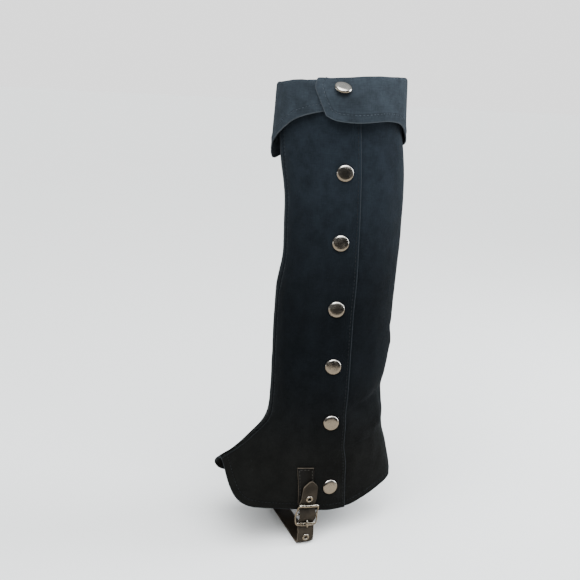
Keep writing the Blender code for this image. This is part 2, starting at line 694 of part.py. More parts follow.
def buckle(nickel, prong_hole):
    """Wire frame with a set-back middle bar, and the prong closed through the strap."""
    centre = Vector((BUCKLE_X, BUCKLE_Y, BUCKLE_HEIGHT))
    top, wide, tall = BUCKLE_TOP_HALF_WIDE, BUCKLE_HALF_WIDE, BUCKLE_HALF_TALL
    outline = [(-top, tall), (-top / 3, tall), (top / 3, tall), (top, tall),
               (top + 1.1, tall - 0.9), (wide - 0.3, tall / 2), (wide, 0), (wide, -tall / 2),
               (wide - 0.9, -tall + 1.6), (top - 0.6, -tall), (top / 2, -tall - 0.9),
               (0, -tall - 1.2)]
    outline += [(-x, z) for x, z in outline[-2:5:-1]] + [(-wide + 0.3, tall / 2),
                                                          (-top - 1.1, tall - 0.9)]
    path = []
    for x, z in outline:
        set_back = BAR_SET_BACK * math.cos(min(abs(z) / tall, 1) * math.pi / 2) ** 2
        path.append(centre + Vector((x, set_back - BUCKLE_LEAN * z, z)))
    frame = finish("buckle_frame", rod(path, BUCKLE_WIRE, 8, cyclic=True), nickel, 60)
    bar_ends = [centre + Vector((side * wide, BAR_SET_BACK, 0)) for side in (-1, 1)]
    bar = finish("buckle_middle_bar", rod(bar_ends, BAR_WIRE, 8), nickel, 60)
    bar.hide_render = True
    bar.display_type = "WIRE"
    union = frame.modifiers.new("Middle bar", "BOOLEAN")
    union.operation = "UNION"
    union.object = bar
    hole, normal = prong_hole
    over_strap = STRAP_THICKNESS / 2 + GAP + PRONG_WIRE + 0.1
    over_bar = BUCKLE_WIRE + GAP + PRONG_WIRE + 0.05 - BUCKLE_LEAN * tall
    lower_bar = centre - Vector((0, over_bar, tall))
    prong_path = [hole - normal * (STRAP_THICKNESS / 2 + 0.3), hole + normal * (over_strap - 0.5),
                  hole + normal * over_strap - Vector((0, 0, 0.8)), lower_bar,
                  lower_bar - Vector((0, 0, 2.2))]
    finish("buckle_prong", rod(prong_path, PRONG_WIRE, 8), nickel, 60)


def main():
    for obj in list(bpy.data.objects):
        bpy.data.objects.remove(obj, do_unlink=True)
    cloth = material("black_cloth", (0.012, 0.014, 0.018), 0.85)
    cuff_cloth = material("cuff_cloth", (0.045, 0.06, 0.075), 0.85)
    cap_metal = material("snap_metal", (0.16, 0.15, 0.14), 0.3, 1.0)
    leather = material("strap_leather", (0.035, 0.025, 0.018), 0.45)
    nickel = material("nickel", (0.45, 0.42, 0.38), 0.3, 1.0)
    front_panel(cloth)
    back_panel(cloth)
    inner_panel(cloth)
    cuffs(cuff_cloth)
    snaps(cap_metal)
    tab(leather)
    prong_hole = sole_strap(leather, nickel)
    buckle(nickel, prong_hole)


main()
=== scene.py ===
"""Looks of a cloth boot cover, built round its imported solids.

Places and sizes are in the cover's own frame: +Z up, the toe end along -X and the snap side
along -Y, with the origin in the top opening. Tables are in millimetres, all else in metres.
"""

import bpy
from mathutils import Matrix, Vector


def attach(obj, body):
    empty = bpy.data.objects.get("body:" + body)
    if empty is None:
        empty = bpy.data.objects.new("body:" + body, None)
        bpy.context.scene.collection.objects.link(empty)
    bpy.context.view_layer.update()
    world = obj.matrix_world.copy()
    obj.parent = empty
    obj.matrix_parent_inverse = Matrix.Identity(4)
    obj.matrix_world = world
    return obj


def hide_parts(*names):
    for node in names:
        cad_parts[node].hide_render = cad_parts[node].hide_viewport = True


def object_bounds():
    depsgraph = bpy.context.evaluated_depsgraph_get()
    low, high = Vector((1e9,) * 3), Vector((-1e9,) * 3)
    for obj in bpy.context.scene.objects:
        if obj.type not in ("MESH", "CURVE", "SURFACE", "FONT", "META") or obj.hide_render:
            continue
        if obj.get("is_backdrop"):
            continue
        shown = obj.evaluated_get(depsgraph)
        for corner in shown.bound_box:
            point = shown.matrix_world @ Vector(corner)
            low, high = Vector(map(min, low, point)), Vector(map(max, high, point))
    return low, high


bl_info = {
    "name": "Boot Cover",
    "version": (1, 0, 0),
    "blender": (4, 5, 0),
    "location": "3D View > Sidebar > Boot Cover",
    "description": "Builds a cloth boot cover with its cuff, snaps, strap and buckle",
    "category": "Object",
}

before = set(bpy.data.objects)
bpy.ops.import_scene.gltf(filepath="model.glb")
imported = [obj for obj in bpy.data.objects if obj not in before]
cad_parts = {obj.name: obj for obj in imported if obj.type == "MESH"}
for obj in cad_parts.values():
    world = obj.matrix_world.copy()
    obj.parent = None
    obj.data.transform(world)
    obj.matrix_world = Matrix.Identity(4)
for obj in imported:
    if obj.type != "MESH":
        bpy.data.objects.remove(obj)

import math

import bmesh
import bpy
from mathutils import Matrix, Vector, kdtree, noise
from mathutils.geometry import intersect_point_line

MM = 0.001
# Angle past which two faces of a cloth wall are divided by a corner, and the distance under
# which two points of its sheet are one.
CORNER = math.radians(55)
CLOSE = 0.0003
# Radius at which an angle round the cover is turned into a length.
GIRTH_RADIUS = 0.058
# Distance of a row of stitches from the turned-in edge, and from a panel's free side and seam.
HEM_ROW, FREE_ROW, SEAM_ROW = 0.0022, 0.0030, 0.0026
# Length of cloth over which wrinkles die away to a hem or free end, and to a seam.
HEM_CALM, SEAM_CALM = 0.012, 0.010
# Place of the strap's sewn ends along X.
STRAP_X = -0.038
STRAP_STEPS = 300
HOLE_RADIUS, PRONG_HOLE_Z = 0.00185, -0.4106
# Distance of the stitches' middle from the middle of the leather that they are sewn through.
TAB_STITCH_LIFT, STRAP_STITCH_LIFT = 0.00075, 0.00128
# Height of the topstitching's middle over its cloth.
STITCH_LIFT = 0.00012

# Cloth pieces: the flat cut's width, length and area.
PANELS = {
    "front_outer_panel": {"flat": (0.168, 0.424), "area": 0.0395},
    "back_outer_panel": {"flat": (0.144, 0.420), "area": 0.0537},
    "inner_panel": {"flat": (0.264, 0.418), "area": 0.0773},
}
CUFFS = {
    "cuff_front": {"flat": (0.190, 0.078), "area": 0.0108},
    "cuff_back": {"flat": (0.234, 0.076), "area": 0.0157},
}

# Creases and swells by their place on the cloth: angle in degrees from the front towards the
# snaps, height, half length, half width, rise and slope in degrees.
CREASES = [
    (118, -291, 30, 4.0, -1.3, 14),
    (106, -300, 17, 4.5, -1.2, -24),
    (112, -335, 24, 2.2, -1.1, 10),
    (132, -318, 20, 6.0, 0.9, 18),
    (126, -364, 26, 5.0, -0.6, -8),
    (20, -150, 34, 5.5, -0.9, 34),
    (-6, -176, 30, 7.0, 0.7, 30),
    (58, -256, 30, 8.0, -0.5, 62),
    (52, -330, 26, 7.0, -0.6, 48),
    (40, -352, 24, 6.0, 0.6, 52),
    (150, -120, 44, 9.0, -0.5, 70),
    (140, -205, 30, 8.0, -0.6, -34),
    (228, -288, 30, 4.0, -1.2, -12),
    (250, -302, 20, 4.5, -1.1, 20),
    (240, -336, 26, 2.6, -1.0, -10),
    (300, -262, 30, 6.0, -0.8, -30),
    (320, -180, 34, 7.0, -0.7, -30),
    (282, -120, 40, 9.0, -0.6, 68),
    (160, -120, 100, 17.0, 2.2, 90),
    (156, -222, 18, 4.5, -1.3, -12),
    (158, -238, 22, 6.0, 0.8, -10),
]

# Route of the sole strap's middle line, from its pointed tail: x, y, z and turn of its width.
STRAP_ROUTE = [
    (-34.0, -56.5, -368.0, -0.033), (-34.4, -55.8, -374.0, -0.014),
    (-34.8, -55.0, -381.0, -0.005), (-35.2, -54.3, -387.0, -0.006),
    (-36.4, -52.7, -394.8, 0.0), (-36.4, -56.1, -405.2, 0.0), (-36.4, -50.7, -415.6, 0.0),
    (-36.7, -52.4, -422.0, 0.0), (-36.8, -53.0, -427.0, 0.0), (-36.9, -53.0, -430.0, 0.0),
    (-36.9, -52.5, -432.7, 0.0), (-36.9, -50.9, -434.9, 0.0), (-36.9, -48.7, -436.5, 0.0),
    (-36.9, -46.0, -437.0, 0.0), (-36.9, 46.0, -437.0, 0.0), (-36.9, 48.7, -436.5, 0.0),
    (-36.9, 50.9, -434.9, 0.0), (-36.9, 52.5, -432.7, 0.0), (-36.9, 53.0, -430.0, 0.0),
    (-37.2, 53.0, -423.0, 0.0), (-37.9, 48.4, -411.0, 0.031), (-37.9, 48.4, -397.0, 0.031),
    (-37.9, 49.5, -389.0, 0.032), (-37.9, 50.7, -379.0, 0.039), (-37.9, 51.8, -367.0, 0.086),
    (-37.9, 52.2, -353.0, 0.204),
]
TAB_ROUTE = [
    (-40.2, -53.9, -353.5, -0.273), (-39.6, -54.1, -361.0, -0.159),
    (-39.1, -53.7, -369.0, -0.072), (-38.5, -53.0, -377.0, -0.020),
    (-37.9, -52.0, -385.0, -0.005), (-37.4, -51.0, -392.0, -0.008),
    (-36.9, -50.1, -398.7, -0.011), (-36.4, -50.0, -404.9, 0.0), (-36.4, -50.1, -405.8, 0.0),
    (-36.4, -50.6, -406.6, 0.0), (-36.4, -51.3, -407.1, 0.0), (-36.4, -52.3, -407.2, 0.0),
    (-36.4, -53.1, -406.8, 0.0), (-36.4, -53.8, -406.1, 0.0), (-36.4, -54.0, -405.2, 0.0),
    (-36.4, -53.8, -404.3, 0.0), (-36.4, -53.2, -403.6, 0.0),
]
# How far a sewn side goes past the seam's plane.
SEAM_LAP = 0.0003
# Caps that lean off their cloth: how far their middle is lifted, the share of the tilt, and the
# way that they lean, in degrees from straight up, below 0 towards the back.
LEANING_CAPS = {"snap_cap_1": (0.0012, 1.0, -28.0), "snap_cap_7": (0.0006, 0.5, 0.0)}
UPRIGHT_CAP = (0.0, 0.0, 0.0)
# Ring of cloth pressed up round a cap: its rise, radius and width.
CAP_RING = (0.0005, 0.0098, 0.0036)
# Bulge under a leaning cap: its most rise, and how far it is full and where it ends.
CAP_BULGE = (0.0034, 0.007, 0.024)
BUCKLE_CENTRE = Vector((-36.4, -54.5, -405.2))


def colour_prop(name, description, default):
    return bpy.props.FloatVectorProperty(
        name=name, description=description, default=default, size=3, subtype="COLOR",
        min=0.0, max=1.0)


def length_prop(name, description, default):
    return bpy.props.FloatProperty(
        name=name, description=description, default=default, min=0.0, unit="LENGTH", precision=4)


def power_prop(name, description, default):
    return bpy.props.FloatProperty(
        name=name, description=description, default=default, min=0.0, unit="POWER")


class ClothSettings(bpy.types.PropertyGroup):
    body_colour: colour_prop("Body", "Colour of the panels", (0.0034, 0.0044, 0.0055))
    # Far lighter than the panels' colour: partly the cloth's own tone, partly painted light from
    # above, as on the panels' painted lighter top.
    cuff_colour: colour_prop("Cuff", "Colour of the turned-down cuff", (0.0190, 0.0242, 0.0300))
    # Pale colour of the lint flecks and of the rubbed edges. On the edges it is partly wear and
    # partly a painted edge highlight.
    wear_and_highlight_colour: colour_prop("Wear", "Colour that rubbed edges go", (0.040, 0.046, 0.052))
    thread_colour: colour_prop("Thread", "Colour of the topstitching", (0.0058, 0.0067, 0.0077))
    # Lighter to go with the cuff's colour, which is partly painted light from above.
    cuff_thread_colour: colour_prop("Cuff thread", "Colour of the cuff's topstitching",
                                    (0.027, 0.033, 0.040))
    wall: length_prop("Wall", "Thickness of a panel with its lining", 0.0018)
    cuff_wall: length_prop("Cuff wall", "Thickness of the cuff", 0.0012)
    hem_depth: length_prop("Hem depth", "Depth of the turned hem", 0.009)
    stitch_length: length_prop("Stitch length", "Length of one stitch", 0.0026)
    stitch_pitch: length_prop("Stitch pitch", "Distance from stitch to stitch", 0.0036)
    wrinkle: length_prop("Wrinkle", "Depth of the loose wrinkles", 0.0007)


class SnapSettings(bpy.types.PropertyGroup):
    metal_colour: colour_prop("Metal", "Colour of the caps", (0.46, 0.43, 0.39))
    crown: length_prop("Crown", "Rise of the cap's disc at its middle", 0.00022)
    tilt: bpy.props.FloatProperty(
        name="Top cap tilt", description="Angle that the cuff's cap leans up from the cloth",
        default=math.radians(20), subtype="ANGLE")


class StrapSettings(bpy.types.PropertyGroup):
    leather_colour: colour_prop("Leather", "Colour of the strap's face", (0.0115, 0.0086, 0.0056))
    edge_colour: colour_prop("Cut edge", "Colour of the strap's cut edge", (0.050, 0.040, 0.029))
    nickel_colour: colour_prop("Nickel", "Colour of the buckle and eyelets", (0.41, 0.375, 0.32))
    tab_colour: colour_prop("Tab", "Colour of the sewn tab", (0.0022, 0.0021, 0.0019))
    thread_colour: colour_prop("Thread", "Colour of the strap's stitching",
                               (0.021, 0.020, 0.018))
    strap_width: length_prop("Strap width", "Width of the sole strap", 0.0164)
    tab_width: length_prop("Tab width", "Width of the sewn tab", 0.0158)


class StudioSettings(bpy.types.PropertyGroup):
    floor_colour: colour_prop("Floor", "Colour of the floor", (0.86, 0.86, 0.85))
    key_power: bpy.props.FloatProperty(
        name="Key", description="Strength of the large soft light", default=6.0, min=0.0)
    high_power: power_prop("Top", "Power of the soft light above the top", 4.0)
    side_power: power_prop("Side", "Power of the cool light at the back panel's side", 28.0)


def settings(name):
    return getattr(bpy.context.scene, name)


# ---------------------------------------------------------------- materials


def rgba(colour, share=1.0):
    return tuple(channel * share for channel in colour) + (1.0,)


class Graph:
    """Node tree of a material or world, with a short way to add a node and feed its inputs."""

    def __init__(self, name, pool="materials", shader="Principled BSDF"):
        self.owner = getattr(bpy.data, pool).new(name)
        self.owner.use_nodes = True
        self.tree = self.owner.node_tree
        self.shader = self.tree.nodes[shader]

    def add(self, kind, feeds=(), **choices):
        node = self.tree.nodes.new("ShaderNode" + kind)
        for key, value in choices.items():
            setattr(node, key, value)
        self.feed(node, feeds)
        return node

    def feed(self, node, feeds):
        for key, value in dict(feeds).items():
            if isinstance(value, bpy.types.NodeSocket):
                self.tree.links.new(value, node.inputs[key])
            else:
                node.inputs[key].default_value = value

    def maths(self, operation, first, second=0.0, third=0.0):
        return self.add("Math", {0: first, 1: second, 2: third}, operation=operation).outputs[0]

    def mix(self, factor, first, second):
        node = self.add("Mix", data_type="RGBA")
        self.feed(node, {0: factor, 6: first, 7: second})
        return node.outputs[2]

    def span(self, value, low, high, to_low=0.0, to_high=1.0):
        return self.add("MapRange", {0: value, 1: low, 2: high, 3: to_low, 4: to_high},
                        interpolation_type="SMOOTHSTEP").outputs[0]

    def clouds(self, place, scale, detail=2.0, **more):
        feeds = {"Vector": place, "Scale": scale, "Detail": detail, **more}
        return self.add("TexNoise", feeds).outputs[0]

    def bumps(self, *layers):
        """Normal from layers of height, depth and strength, each on the one before it."""
        under = {}
        for height, distance, strength in layers:
            node = self.add("Bump", {"Height": height, "Distance": distance,
                                     "Strength": strength, **under})
            under = {"Normal": node.outputs[0]}
        return node.outputs[0]


def cloth_material(name, colour, wear, top, low, weave, edge_wear_and_highlight):
    """Brushed twill: a diagonal weave under a soft nap, pale along its edges from wear and from a
    painted edge highlight. Painted light scales the colour: top towards the top of the cover, as
    light from above, and low towards the bottom, as warm bounce from the floor.
    """
    g = Graph(name)
    place = g.add("TexCoord").outputs["Object"]
    flat = g.add("UVMap", uv_map="cloth").outputs[0]
    edge = g.add("Attribute", attribute_name="edge").outputs["Fac"]
    seam = g.add("Attribute", attribute_name="seam").outputs["Fac"]
    turned = g.add("Mapping", {"Vector": flat, "Rotation": (0.0, 0.0, math.radians(62))})
    twill = g.add("TexWave", {"Vector": turned.outputs[0], "Scale": 430.0, "Distortion": 0.9,
                              "Detail": 2.0, "Detail Scale": 1.4})
    mottle = g.clouds(place, 70.0, 7.0, Roughness=0.66)
    patch = g.clouds(place, 17.0, 4.0)
    nap = g.clouds(place, 1500.0, 3.0)
    threads = []
    for scale in ((170.0, 900.0, 1.0), (1100.0, 150.0, 1.0)):
        drawn = g.add("Mapping", {"Vector": flat, "Scale": scale}).outputs[0]
        threads.append(g.clouds(drawn, 1.0, 3.0))
    slub = g.maths("MULTIPLY", g.maths("ADD", *threads), 0.5)
    height = g.add("SeparateXYZ", {0: place}).outputs[2]

    def shade(scales):
        return rgba(channel * scale for channel, scale in zip(colour, scales))

    # Painted light: the top scales make the colour lighter and bluer towards the top, as light
    # from above, and the low scales make it warmer towards the bottom, as warm bounce from the
    # floor.
    painted_light_colour = g.mix(g.span(height, -0.03, -0.21), shade(top), rgba(colour))
    painted_light_colour = g.mix(g.span(height, -0.24, -0.36), painted_light_colour, shade(low))
    tone = g.maths("MULTIPLY_ADD", g.span(mottle, 0.30, 0.70), 0.36, 0.70)
    tone = g.maths("MULTIPLY_ADD", g.span(patch, 0.34, 0.70), 0.24, tone)
    tone = g.maths("MULTIPLY_ADD", g.span(slub, 0.36, 0.66), weave, tone)
    grey = g.add("CombineXYZ", {0: tone, 1: tone, 2: tone}).outputs[0]
    base = g.add("VectorMath", {0: painted_light_colour, 1: grey}, operation="MULTIPLY").outputs[0]
    lint = g.maths("MULTIPLY", g.span(slub, 0.63, 0.72), 0.22)
    base = g.mix(lint, base, rgba(wear))
    # Pale edges by their distance from the edge: partly wear, partly a painted highlight where the
    # edges catch the light.
    ragged = g.maths("MULTIPLY_ADD", mottle, 0.0012, edge)
    rubbed = g.maths("MULTIPLY", g.span(ragged, 0.0017, 0.0008), edge_wear_and_highlight)
    base = g.mix(rubbed, base, rgba(wear))

    groove = g.span(g.maths("ABSOLUTE", g.maths("SUBTRACT", edge, 0.0068)), 0.0, 0.0012)
    valley = g.span(seam, 0.0, 0.0016)
    folds = g.clouds(place, 60.0, 5.0, Roughness=0.55)
    normal = g.bumps((folds, 0.0018, 0.6), (groove, 0.0005, 0.6), (valley, 0.0009, 0.8),
                     (slub, 0.0004, 0.5), (twill.outputs["Fac"], 0.00016, 0.5),
                     (nap, 0.00022, 0.5))
    rough = g.span(mottle, 0.2, 0.8, 0.82, 0.96)
    g.feed(g.shader, {"Base Color": base, "Roughness": rough, "Normal": normal,
                      "Specular IOR Level": 0.035, "Sheen Weight": 0.03, "Sheen Roughness": 0.30,
                      "Sheen Tint": (0.70, 0.82, 0.95, 1.0)})
    return g.owner


def thread_material(name, colour):
    """Twisted sewing thread."""
    g = Graph(name)
    place = g.add("TexCoord").outputs["Object"]
    twist = g.add("TexWave", {"Vector": place, "Scale": 900.0, "Distortion": 0.6},
                  bands_direction="DIAGONAL")
    fibre = g.clouds(place, 700.0)
    base = g.mix(g.span(fibre, 0.3, 0.7), rgba(colour), rgba(colour, 1.7))
    g.feed(g.shader, {"Base Color": base, "Roughness": 0.7, "Specular IOR Level": 0.1,
                      "Normal": g.bumps((twist.outputs["Fac"], 0.00012, 0.6))})
    return g.owner


def metal_material(name, colour, roughness, wear):
    """Plated metal with fine handling scratches and duller smudges."""
    g = Graph(name)
    place = g.add("TexCoord").outputs["Object"]
    smudge = g.clouds(place, 190.0, 4.0)
    pits = g.clouds(place, 1400.0, 3.0)
    lines = g.add("Mapping", {"Vector": place, "Rotation": (0.4, 0.3, 0.7),
                              "Scale": (140.0, 2600.0, 2600.0)})
    lines = g.clouds(lines.outputs[0], 1.0)
    base = g.mix(g.span(smudge, 0.58, 0.78), rgba(colour), rgba(colour, 0.62))
    rough = g.span(smudge, 0.35, 0.75, roughness, roughness + wear)
    normal = g.bumps((g.span(lines, 0.60, 0.72), 0.00003, 0.35), (pits, 0.00003, 0.25))
    g.feed(g.shader, {"Base Color": base, "Metallic": 1.0, "Roughness": rough,
                      "Normal": normal})
    return g.owner


def leather_material(name, colour, roughness, grain, shine):
    """Finished strap leather: pebbled grain, fine creases and duller rubbed patches."""
    g = Graph(name)
    place = g.add("TexCoord").outputs["Object"]
    cells = g.add("TexVoronoi", {"Vector": place, "Scale": 820.0, "Randomness": 0.9})
    crease = g.clouds(place, 240.0, 6.0, Roughness=0.6, Distortion=0.5)
    patch = g.clouds(place, 60.0, 4.0)
    base = g.mix(g.span(patch, 0.36, 0.70), rgba(colour, 0.7), rgba(colour, 2.0))
    pores = g.span(cells.outputs["Distance"], 0.05, 0.55)
    normal = g.bumps((crease, 0.00035, 0.5 * grain), (pores, 0.00018, 0.5 * grain))
    rough = g.span(patch, 0.3, 0.75, roughness, roughness + 0.2)
    g.feed(g.shader, {"Base Color": base, "Roughness": rough, "Normal": normal,
                      "Specular IOR Level": shine})
    return g.owner


# ---------------------------------------------------------------- shared shaping


def linked(name, data):
    """New object in the scene."""
    obj = bpy.data.objects.new(name, data)
    bpy.context.scene.collection.objects.link(obj)
    return obj


def mesh_of(name, bm):
    """Mesh of a finished bmesh, which is freed."""
    mesh = bpy.data.meshes.new(name)
    bm.to_mesh(mesh)
    bm.free()
    return mesh


def evaluated_mesh(obj):
    """Mesh of an object as its modifiers leave it."""
    bpy.context.view_layer.update()
    return bpy.data.meshes.new_from_object(
        obj.evaluated_get(bpy.context.evaluated_depsgraph_get()))


def merged(node):
    """Copy of a CAD node's mesh with its loose triangles joined up."""
    bm = bmesh.new()
    bm.from_mesh(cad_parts[node].data)
    bmesh.ops.remove_doubles(bm, verts=bm.verts, dist=2e-6)
    return bm


def smooth_regions(bm):
    """Sets of faces that join without a corner between them."""
    left = set(bm.faces)
    regions = []
    while left:
        region = [left.pop()]
        for face in region:
            for edge in face.edges:
                if len(edge.link_faces) == 2 and edge.calc_face_angle() < CORNER:
                    for other in edge.link_faces:
                        if other in left:
                            left.discard(other)
                            region.append(other)
        regions.append(region)
    return regions


def outer_sheet(node):
    """Outer face of a cloth wall, as one open sheet of quads."""
    bm = merged(node)
    outer = set(max(smooth_regions(bm), key=lambda faces: sum(f.calc_area() for f in faces)))
    bmesh.ops.delete(bm, geom=[f for f in bm.faces if f not in outer], context="FACES")
    bmesh.ops.join_triangles(bm, faces=bm.faces, angle_face_threshold=math.radians(60),
                             angle_shape_threshold=math.radians(70))
    bmesh.ops.remove_doubles(bm, verts=bm.verts, dist=CLOSE)
    return bm


def subdivided(bm, levels):
    """Catmull-Clark surface of the sheet, with its four corners kept."""
    holder = linked("coarse", mesh_of("coarse", bm))
    smooth = holder.modifiers.new("Smooth", "SUBSURF")
    smooth.levels = smooth.render_levels = levels
    smooth.boundary_smooth = "PRESERVE_CORNERS"
    fine = evaluated_mesh(holder)
    bpy.data.objects.remove(holder, do_unlink=True)
    bm = bmesh.new()
    bm.from_mesh(fine)
    return bm


def borders(bm):
    """The sheet's four sides as lists of border vertices, split at its corners."""
    corners = [v for v in bm.verts if v.is_boundary and len(v.link_faces) == 1]
    if len(corners) != 4:
        raise RuntimeError(f"a sheet of cloth has {len(corners)} corners, not 4")
    sides = []
    for corner in corners:
        for edge in corner.link_edges:
            side = [corner, edge.other_vert(corner)]
            while len(side[-1].link_faces) != 1:
                side.append(next(e.other_vert(side[-1]) for e in side[-1].link_edges
                                 if e.is_boundary and e.other_vert(side[-1]) != side[-2]))
            if not any(side[-1] == done[0] and side[0] == done[-1]
                       and side[-2] == done[1] for done in sides):
                sides.append(side)
    return sides


def mean_height(side):
    return sum(v.co.z for v in side) / len(side)


def tree_of(points):
    tree = kdtree.KDTree(len(points))
    for index, point in enumerate(points):
        tree.insert(point, index)
    tree.balance()
    return tree


def distances(bm, sides):
    """Distance of every vertex of the sheet from the nearest of some of its sides."""
    points, ends = [], set()
    for side in sides:
        points += [v.co.copy() for v in side]
        ends.add(len(points) - 1)
    tree = tree_of(points)
    found = []
    for vert in bm.verts:
        _, index, best = tree.find(vert.co)
        for first in (index - 1, index):
            if 0 <= first < len(points) - 1 and first not in ends:
                on, share = intersect_point_line(vert.co, points[first], points[first + 1])
                if 0.0 < share < 1.0:
                    best = min(best, (vert.co - on).length)
        found.append(best)
    return found


def around(point):
    """Angle in degrees round the cover, 0 at the front and 90 at the snap side."""
    return math.degrees(math.atan2(-point.y, -point.x)) % 360.0


def crease_depth(point):
    """How far the creases and swells raise a point of the cloth, below 0 where they sink it."""
    angle = around(point)
    total = 0.0
    for at, height, half_length, half_width, depth, slope in CREASES:
        across = math.radians((angle - at + 180.0) % 360.0 - 180.0) * GIRTH_RADIUS
        up = point.z - height * MM
        turn = math.radians(slope)
        along = across * math.cos(turn) + up * math.sin(turn)
        off = up * math.cos(turn) - across * math.sin(turn)
        fade = along / (half_length * MM)
        if abs(fade) < 1.0 and abs(off) < 3 * half_width * MM:
            total += (depth * MM * math.cos(fade * math.pi / 2) ** 2
                      * math.exp(-(off / (half_width * MM)) ** 2))
    return total


def wrinkle_depth(point, depth):
    """Loose wrinkles, longer than they are wide and deeper towards the ankle."""
    angle = math.radians(around(point))
    spot = Vector((math.cos(angle) * 2.1, math.sin(angle) * 2.1, point.z * 11.0))
    broad = noise.fractal(spot + Vector((3.1, 7.7, 1.9)), 1.0, 2.0, 3)
    spot = Vector((math.cos(angle) * 5.0, math.sin(angle) * 5.0, point.z * 48.0))
    fine = noise.fractal(spot + Vector((8.2, 1.3, 4.4)), 1.0, 2.0, 2)
    low = min(max((-0.20 - point.z) / 0.10, 0.0), 1.0)
    return depth * (0.9 * broad + (0.25 + 0.45 * low) * fine)


def strap_calm(point):
    """Share of the wrinkles that is kept: little under the strap's sewn ends."""
    past_side = smooth_step(abs(point.x - STRAP_X), 0.009, 0.020)
    past_end = smooth_step(point.z, -0.352, -0.335)
    return max(past_side, past_end, 0.1)


def smooth_step(value, low, high):
    share = min(max((value - low) / (high - low), 0.0), 1.0)
    return share * share * (3 - 2 * share)


def add_to(bm, part):
    """Add a finished part to a larger bmesh, and free it."""
    mesh = mesh_of("part", part)
    bm.from_mesh(mesh)
    bpy.data.meshes.remove(mesh)


def make_piece(name, bm, materials, replaced):
    """New object at the origin from a bmesh, riding on the cover and standing for CAD nodes."""
    mesh = mesh_of(name, bm)
    for material in materials:
        mesh.materials.append(material)
    mesh.shade_smooth()
    obj = linked(name, mesh)
    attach(obj, "root")
    if replaced:
        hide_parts(*replaced)
    return obj


def add_wall(obj, thickness, rim_material=0):
    wall = obj.modifiers.new("Wall", "SOLIDIFY")
    wall.thickness = thickness
    wall.offset = -1.0
    wall.material_offset_rim = rim_material
    return wall


def add_round_edges(obj, width):
    rounding = obj.modifiers.new("Round edges", "BEVEL")
    rounding.width = width
    rounding.segments = 2
    rounding.limit_method = "ANGLE"
    rounding.angle_limit = math.radians(50)


# ---------------------------------------------------------------- cloth


def seat_frame(node):
    """Frame on a CAD fastener's flat base: its middle, with Z along the way it stands out."""
    bm = merged(node)
    bases = {}
    for face in bm.faces:
        key = tuple(round(c, 2) for c in face.normal)
        bases.setdefault(key, []).append(face)
    base = max(bases.values(), key=lambda faces: sum(f.calc_area() for f in faces))
    area = sum(f.calc_area() for f in base)
    middle = sum((f.calc_center_median() * f.calc_area() for f in base), Vector()) / area
    z = -base[0].normal.normalized()
    bm.free()
    x = Vector((0, 0, 1)).cross(z).normalized()
    turn = Matrix((x, z.cross(x), z)).transposed().to_4x4()
    return Matrix.Translation(middle) @ turn


def cap_seat(name):
    """Middle of a cap's base, with its lift and the slope that it leans up at."""
    lift, share, _ = LEANING_CAPS.get(name, UPRIGHT_CAP)
    return seat_frame(name).translation, lift, math.tan(settings("boot_cover_snap").tilt * share)


def cloth_sheet(node, levels, wrinkle, caps):
    """Fine sheet on a CAD cloth wall with its creases, wrinkles, hem and seams shaped in."""
    bm = subdivided(outer_sheet(node), levels)
    layer = bm.verts.layers.float.new("edge")
    seam_layer = bm.verts.layers.float.new("seam")
    uv = bm.loops.layers.uv.new("cloth")
    bm.normal_update()
    sides = sorted(borders(bm), key=mean_height)
    hem, top = sides[0], sides[-1]
    upright = sides[1:3]
    sewn = [side for side in upright if is_sewn(side)]
    free = [side for side in upright if side not in sewn]
    edge = distances(bm, [hem] + free)
    seam = distances(bm, sewn)
    root = distances(bm, [top])
    hem_depth = settings("boot_cover_cloth").hem_depth
    ring_rise, ring_radius, ring_width = CAP_RING
    most, full_to, ends_at = CAP_BULGE
    moves = []
    for vert, to_edge, to_seam, to_root in zip(bm.verts, edge, seam, root):
        rise = crease_depth(vert.co) + wrinkle_depth(vert.co, wrinkle)
        pucker = noise.noise(vert.co * 210.0) * 0.00028
        near = min(to_edge / HEM_CALM, to_seam / SEAM_CALM)
        rise *= 0.35 + 0.65 * smooth_step(near, 0.0, 1.0)
        rise += pucker * math.exp(-near * near)
        rise += 0.0003 * (1 - smooth_step(to_edge, hem_depth - 0.001, hem_depth + 0.001))
        rise -= 0.0007 * math.exp(-(to_seam / 0.0022) ** 2)
        for cap, lift, slope in caps:
            away = (vert.co - cap).length
            rise += ring_rise * math.exp(-((away - ring_radius) / ring_width) ** 2)
            if lift:
                lean = lift + slope * (cap.z - vert.co.z)
                rise += min(max(lean, 0.0), most) * (1 - smooth_step(away, full_to, ends_at))
        rise *= smooth_step(to_root, -0.002, 0.008) * strap_calm(vert.co)
        moves.append(vert.normal * rise)
    for vert, move in zip(bm.verts, moves):
        vert.co += move
    for side in sewn:
        close_seam(bm, side)
    for vert, to_edge, to_seam in zip(bm.verts, edge, seam):
        vert[layer] = to_edge
        vert[seam_layer] = to_seam
    lay_flat(bm, uv)
    return bm, hem, free, sewn


def middle_angle(side):
    """Angle round the cover of the middle one of an upright side's points."""
    angles = sorted(around(v.co) for v in side)
    return angles[len(angles) // 2]


def is_sewn(side):
    """Whether an upright side is a seam: all but the placket's and the cuff's free ends are."""
    return not 30.0 < middle_angle(side) < 150.0


def close_seam(bm, side):
    """Pull a sewn side a hair past the seam's plane, so that the two sheets meet in it."""
    axis = 0 if abs(middle_angle(side) - 270.0) < 30.0 else 1
    own = math.copysign(1.0, sum(v.co[axis] for v in bm.verts))
    for vert in side:
        vert.co[axis] = -own * SEAM_LAP


def lay_flat(bm, uv):
    """UV map in metres: round the cover, and down it or out along the instep."""
    for face in bm.faces:
        start = around(face.calc_center_median())
        for loop in face.loops:
            point = loop.vert.co
            angle = (around(point) - start + 180.0) % 360.0 - 180.0 + start
            out = max(0.0, -point.x - GIRTH_RADIUS)
            loop[uv].uv = (math.radians(angle) * GIRTH_RADIUS, point.z - out * 0.8)


